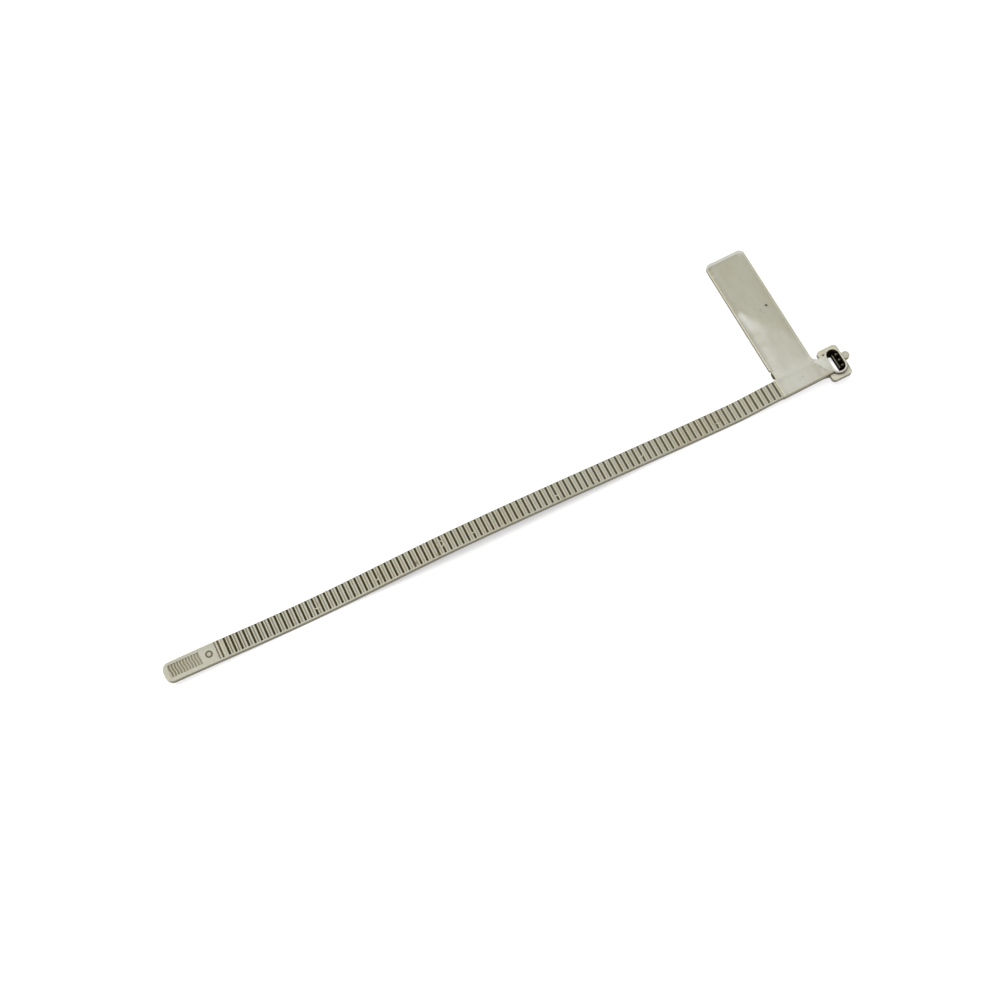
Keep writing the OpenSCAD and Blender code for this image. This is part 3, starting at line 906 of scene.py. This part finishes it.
def oval(wide, long, count=72):
    """Points round an oval, each with its outward direction."""
    straight, radius = (long - wide) / 2, wide / 2
    made = []
    for i in range(count):
        a = 2 * pi * (i + 0.5) / count
        x, y = cos(a), sin(a)
        made.append(((x * radius, y * radius + (straight if y > 0 else -straight)), (x, y)))
    return made


def round_box(centre_x, wide, long, corner, count=72):
    """Points round a rectangle with round corners, each with its outward direction."""
    made = []
    for i in range(count):
        a = 2 * pi * (i + 0.5) / count
        x, y = cos(a), sin(a)
        side = centre_x + x * corner + (wide / 2 - corner) * (1 if x > 0 else -1)
        made.append(((side, y * corner + (long / 2 - corner) * (1 if y > 0 else -1)), (x, y)))
    return made


def sweep(path, profile):
    """Rings and marks of a profile of (outward, height, painted shade with soil, painted highlight with
    rubbing) carried round a path.
    """
    rings = [[(p[0] + n[0] * out, p[1] + n[1] * out, z) for p, n in path] for out, z, dirt, worn in profile]
    grime = [dirt for out, z, dirt, worn in profile for p in path]
    wear = [worn for out, z, dirt, worn in profile for p in path]
    return rings, grime, wear


def closed_loft(rings):
    """A skin through rings whose last one joins the first."""
    count, turns = len(rings[0]), len(rings)
    points = [point for ring in rings for point in ring]
    faces = []
    for i in range(turns):
        for j in range(count):
            k, after = (j + 1) % count, (i + 1) % turns
            faces.append((i * count + j, i * count + k, after * count + k, after * count + j))
    return points, faces


foot = rim_proud - head_height
rim = 0.11 * mm
rim_dip = 0.09 * mm
slot_in = 0.14 * mm
slot_end_in = 0.3 * mm
# the slot's inside and the band under the rim get painted shade
tube_profile = [
    (0, foot, 0.95, 0), (tube_wall - 0.1 * mm, foot, 0.4, 0), (tube_wall, foot + 0.1 * mm, 0.3, 0),
    (tube_wall, -2.6 * mm, 0.35, 0), (tube_wall, -2.3 * mm, 0.85, 0), (tube_wall, -0.9 * mm, 0.85, 0),
    (tube_wall, -0.35 * mm, 0.5, 0), (tube_wall, -0.12 * mm, 0.15, 0),
]
for a in (0, 0.4, 0.8, 1.2, pi / 2):
    height = rim_proud - rim * (1 - sin(a))
    tube_profile.append((tube_wall - rim * (1 - cos(a)), height, 0, 0.2 + 0.5 * sin(a)))
for a in (pi / 2, 1.2, 0.8, 0.4, 0):
    height = rim_proud - rim * (1 - sin(a))
    tube_profile.append((rim * (1 - cos(a)), height, 0, 0.3 + 0.5 * sin(a)))
tube_profile += [(0, -0.18 * mm, 0.7, 0), (0, -0.4 * mm, 0.95, 0), (0, -1.2 * mm, 1, 0), (0, -2.5 * mm, 1, 0)]
rings, grime, wear = sweep(oval(slot_wide, slot_long), tube_profile)
for i, ring in enumerate(rings):
    out = tube_profile[i][0]
    for j, (x, y, z) in enumerate(ring):
        strap_side = smooth((-x - 0.9 * mm) / (0.6 * mm))
        new_x, new_y, new_z = x, y, z
        # the rim's painted highlight is weaker next to the strap and at the front, and the rim dips next to
        # the strap
        if z > 0 and (x < 0 or y < -1.5 * mm):
            wear[i * len(ring) + j] *= 0.4
        if z > 0 and x < 0:
            new_z -= rim_dip * strap_side * smooth((2.6 * mm - abs(y)) / (0.9 * mm))
        # the slot's wall stands in next to the strap, and its far end closes in lower down
        if out < tube_wall / 2 and x < 0:
            new_x += slot_in * strap_side * smooth((2.9 * mm - abs(y)) / (0.8 * mm))
        if out == 0 and z < -mm and y > 0:
            new_y -= slot_end_in * smooth((y - 2.0 * mm) / mm)
        ring[j] = (new_x, new_y, new_z)
# the rim's top gets painted light
shell(
    "head_tube", *closed_loft(rings), tube_nylon, recess=grime, wear=wear,
    bloom=[0.8 if z > -0.3 * mm else 0.0 for ring in rings for x, y, z in ring],
)

flange_top = -0.95 * mm
flange_low = -2.35 * mm
flange_long = 5.5 * mm
flange_round = 0.18 * mm
outer = round_box(-0.2 * mm, flange_long, flange_across, 1.0 * mm)
inner = oval(slot_wide + tube_wall, slot_long + tube_wall)
# painted shade on the flange's walls and in a line round the tube's foot, painted highlight on its top edges
flange_profile = [(0, flange_low + 0.15 * mm, 0.35, 0), (0, flange_top - 0.5 * mm, 0.2, 0)]
for a in (0, 0.5, 1.0, pi / 2):
    out, down = -flange_round * (1 - cos(a)), flange_round * (1 - sin(a))
    flange_profile.append((out, flange_top - down, 0.2 * (1 - sin(a)), 0.7 * sin(a)))
flange_profile.append((-flange_round - 0.1 * mm, flange_top, 0, 0.2))
flange_profile.append((-flange_round - 0.2 * mm, flange_top, 0, 0))
rings, grime, wear = sweep(outer, flange_profile)
at_tube = tube_wall / 2
for path, profile in (
    (inner, [
        (at_tube + 0.45 * mm, flange_top, 0.0, 0.0), (at_tube + 0.15 * mm, flange_top, 0.0, 0.0),
        (at_tube, flange_top, 0.9, 0.0), (at_tube, flange_low, 0.5, 0.0),
    ]),
    (outer, [(-0.15 * mm, flange_low, 0.5, 0.0)]),
):
    more_rings, more_grime, more_wear = sweep(path, profile)
    rings += more_rings
    grime += more_grime
    wear += more_wear
on_top = [z > flange_top - flange_round for ring in rings for x, y, z in ring]
far_half = [y > 0 for ring in rings for x, y, z in ring]
# the flange's top gets painted light, strongest on the near ear in the tube's shadow
shell(
    "head_flange", *closed_loft(rings), head_nylon, recess=grime,
    wear=[max(worn, 0.45 * top) for worn, top in zip(wear, on_top)],
    bloom=[(0.5 if far else 1.0) * top for far, top in zip(far_half, on_top)],
)

nub_top = -0.4 * mm
nub_x, nub_y = 3.0 * mm, 0.35 * mm
nub_steps = 40
nub_turns = [2 * pi / nub_steps * i for i in range(nub_steps)]
rings, grime, wear = [], [], []
# the nub's sides get painted shade and its rims painted highlight
for out, z, dirt, worn in (
    (0.001, 0.0, 0, 0.2), (0.32, 0.0, 0, 0.1), (0.42, -0.04, 0.16, 0), (0.50, -0.04, 0.16, 0),
    (0.60, 0.0, 0, 0.1), (0.88, 0.0, 0, 0.3), (0.96, -0.03, 0, 0.5), (1.02, -0.09, 0, 0.3),
    (1.05, -0.18, 0.2, 0), (1.05, -0.5, 0.4, 0), (1.05, -1.0, 0.5, 0), (0.95, -1.1, 0.5, 0),
    (0.001, -1.1, 0.5, 0),
):
    reach = out * mm
    rings.append([(nub_x + reach * cos(a), nub_y + reach * sin(a), nub_top + z * mm) for a in nub_turns])
    grime += [dirt] * nub_steps
    wear += [worn] * nub_steps
shell("gate_nub", *loft(rings), head_nylon, recess=grime, wear=wear)

# Pawl: the springy nylon tongue in the head that locks in the grooves, on a web at its heel.
# It leans towards the strap at its tip, and three small ribs stand behind it on the slot's wall.
pawl_tip_x = 1.735 * mm - slot_wide / 2
pawl_heel_x = pawl_tip_x + 0.6 * mm
web_top, web_foot = -2.9 * mm, -4.0 * mm
rib_apart = 1.6 * mm
# the pawl, its web and the ribs are painted nearly black for shade
pawl_nylon = nylon("pawl_nylon", grime=slot_black, sheen=0.05)
pawl_side = [
    (pawl_heel_x, -3.3, 1), (pawl_tip_x + 0.13 * mm, -1.5, 0.97),
    (pawl_tip_x + 0.01 * mm, -1.14, 0.85), (pawl_tip_x + 0.12 * mm, -1.02, 0.5),
    (pawl_tip_x + 0.21 * mm, -1.0, 0.35), (pawl_tip_x + 0.28 * mm, -1.08, 0.85),
    (pawl_tip_x + 0.40 * mm, -1.4, 0.95), (pawl_heel_x + 0.4 * mm, -3.3, 1),
]


def slab(name, side, cuts):
    """A tongue with this outline seen from the side, its top lowered a little at its two edges."""
    rings, grime = [], []
    for y, lower in cuts:
        rings.append([(x, y, (z - (lower if z > -2 else 0)) * mm) for x, z, dirt in side])
        grime += [dirt for x, z, dirt in side]
    return shell(name, *loft(rings), pawl_nylon, recess=grime)


cuts = [(y * mm, lower) for y, lower in ((-1.95, 0.08), (-1.88, 0), (1.88, 0), (1.95, 0.08))]
slab("pawl", pawl_side, cuts)

mid_wall = slot_wide / 2 + tube_wall / 2
rings, grime = [], []
for y in (-3.1, -2.9, -2.6, -2.2, -1.8, -1.4, 1.4, 1.8, 2.2, 2.6, 2.9, 3.1):
    round_end = max(0.0, abs(y) * mm - (slot_long - slot_wide) / 2)
    outer_x = sqrt(mid_wall ** 2 - round_end ** 2)
    rings.append([(x, y * mm, z) for x, z in (
        (pawl_heel_x, web_foot), (pawl_heel_x, web_top - 0.2 * mm), (pawl_heel_x + 0.15 * mm, web_top),
        (outer_x, web_top), (outer_x, web_foot),
    )])
    grime += [0.9, 0.9, 0.9, 1, 1]
shell("pawl_web", *loft(rings), pawl_nylon, recess=grime)

rib_side = [(slot_wide / 2 - out * mm, z, dirt) for out, z, dirt in (
    (0.85, -3.3, 1), (0.85, -0.95, 0.95), (0.83, -0.66, 0.7), (0.76, -0.55, 0.4), (0.64, -0.5, 0.35),
    (0.50, -0.55, 0.8), (0.20, -0.62, 0.9), (-0.2, -0.62, 1), (-0.2, -3.3, 1),
)]
for number in range(3):
    middle = (number - 1) * rib_apart
    cuts = [(middle + y * mm, lower) for y, lower in ((-0.18, 0.1), (-0.10, 0), (0.10, 0), (0.18, 0.1))]
    slab(f"slot_rib_{number + 1}", rib_side, cuts)

# Floor: a white paper sweep, lit by one large soft box that hangs overhead, with painted light
# and shade in its glow. The box is turned about the vertical, so that its edge passes over the
# flag and only a part mirrors it.
floor_half = 3.0
paper_grey = (0.45, 0.45, 0.45, 1)
paper_seen = (0.70, 0.70, 0.70, 1)
paper_bow = (0.92, 0.92, 0.92, 1)
# the floor's glow, with painted light in the head's slot and near the head, and painted shade under the bow
glow_plain, glow_slot = 0.65, 0.85
glow_bow = -0.24
glow_end = 0.045
air_strength = 0.36
lamp_energy = 6.6
lamp_height = 0.70
lamp_edge = 0.336
lamp_back = 0.45
lamp_turn = radians(32)
floor_mesh = bpy.data.meshes.new("floor")
corners = [(x * floor_half, y * floor_half, 0) for x, y in ((-1, -1), (1, -1), (1, 1), (-1, 1))]
floor_mesh.from_pydata(corners, [], [(0, 1, 2, 3)])
floor = bpy.data.objects.new("floor", floor_mesh)
bpy.context.collection.objects.link(floor)


def seen_rays(tree):
    """One for a ray from the lens or off a glossy or clear surface, otherwise nought."""
    kinds = tree.nodes.new("ShaderNodeLightPath").outputs
    total = kinds["Is Camera Ray"]
    for kind in ("Is Glossy Ray", "Is Transmission Ray"):
        total = calculate(tree, "MAXIMUM", total, kinds[kind])
    return total


white = bpy.data.materials.new("white_sweep")
white.use_nodes = True
tree = white.node_tree
nodes, links = tree.nodes, tree.links
nodes.remove(nodes["Principled BSDF"])
shown = seen_rays(tree)
place = nodes.new("ShaderNodeTexCoord").outputs["Object"]
apart = nodes.new("ShaderNodeSeparateXYZ")
links.new(place, apart.inputs["Vector"])
from_slot = nodes.new("ShaderNodeVectorMath")
from_slot.operation = "DISTANCE"
links.new(place, from_slot.inputs[0])
from_slot.inputs[1].default_value = (at_head.translation.x, at_head.translation.y, 0)
bow_start = to_row.translation.x


def along_bow(start, end, *heights):
    """A soft change from one height to another, between two places in millimetres along the bow."""
    x = apart.outputs["X"]
    return spread(tree, x, bow_start + start * mm, bow_start + end * mm, *heights, "SMOOTHSTEP")


# painted shade on the paper under the bow of the strap, so that its shadow shows more, and painted light in
# the head's slot and near the head, so that shadows show less under the flag and head
bowed = calculate(tree, "MULTIPLY", along_bow(22, 46, 0, 1), along_bow(96, 118, 1, 0))
aside = calculate(tree, "ABSOLUTE", apart.outputs["Y"])
near = spread(tree, aside, 50 * mm, 90 * mm, 1, 0, "SMOOTHSTEP")
beside = calculate(tree, "MULTIPLY", bowed, near)
paper = mix(tree, shown, paper_grey, paper_seen)
matt = nodes.new("ShaderNodeBsdfDiffuse")
links.new(mix(tree, calculate(tree, "MULTIPLY", beside, shown), paper, paper_bow), matt.inputs["Color"])
# painted light on the floor inside the head's slot
clear = spread(tree, from_slot.outputs["Value"], 1.7 * mm, 2.0 * mm, glow_slot, glow_plain)
dim = calculate(tree, "MULTIPLY_ADD", beside, glow_bow, clear)
lift = calculate(tree, "ADD", along_bow(132, 150, 0, glow_end), dim)
glow = nodes.new("ShaderNodeEmission")
links.new(calculate(tree, "MULTIPLY", shown, lift), glow.inputs["Strength"])
both = nodes.new("ShaderNodeAddShader")
links.new(matt.outputs["BSDF"], both.inputs[0])
links.new(glow.outputs["Emission"], both.inputs[1])
links.new(both.outputs["Shader"], nodes["Material Output"].inputs["Surface"])
floor_mesh.materials.append(white)
floor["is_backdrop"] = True

box_light = bpy.data.lights.new("soft_box", "AREA")
box_light.shape = "RECTANGLE"
box_light.size, box_light.size_y = 0.80, 0.90
box_light.energy = lamp_energy
soft_box = bpy.data.objects.new("soft_box", box_light)
lamp_side = lamp_edge - box_light.size / 2
soft_box.location = (
    lamp_side * cos(lamp_turn) - lamp_back * sin(lamp_turn),
    lamp_side * sin(lamp_turn) + lamp_back * cos(lamp_turn),
    lamp_height,
)
soft_box.rotation_euler = (0, 0, lamp_turn)
bpy.context.collection.objects.link(soft_box)
world = bpy.data.worlds.new("studio")
world.use_nodes = True
nodes, links = world.node_tree.nodes, world.node_tree.links
air = nodes["Background"]
air.inputs["Color"].default_value = (1, 1, 1, 1)
seen = nodes.new("ShaderNodeMix")
seen.inputs[2].default_value = air_strength
seen.inputs[3].default_value = 1.0
links.new(seen_rays(world.node_tree), seen.inputs[0])
links.new(seen.outputs[0], air.inputs["Strength"])
bpy.context.scene.world = world
bpy.context.scene.view_settings.view_transform = "Standard"

low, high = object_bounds()
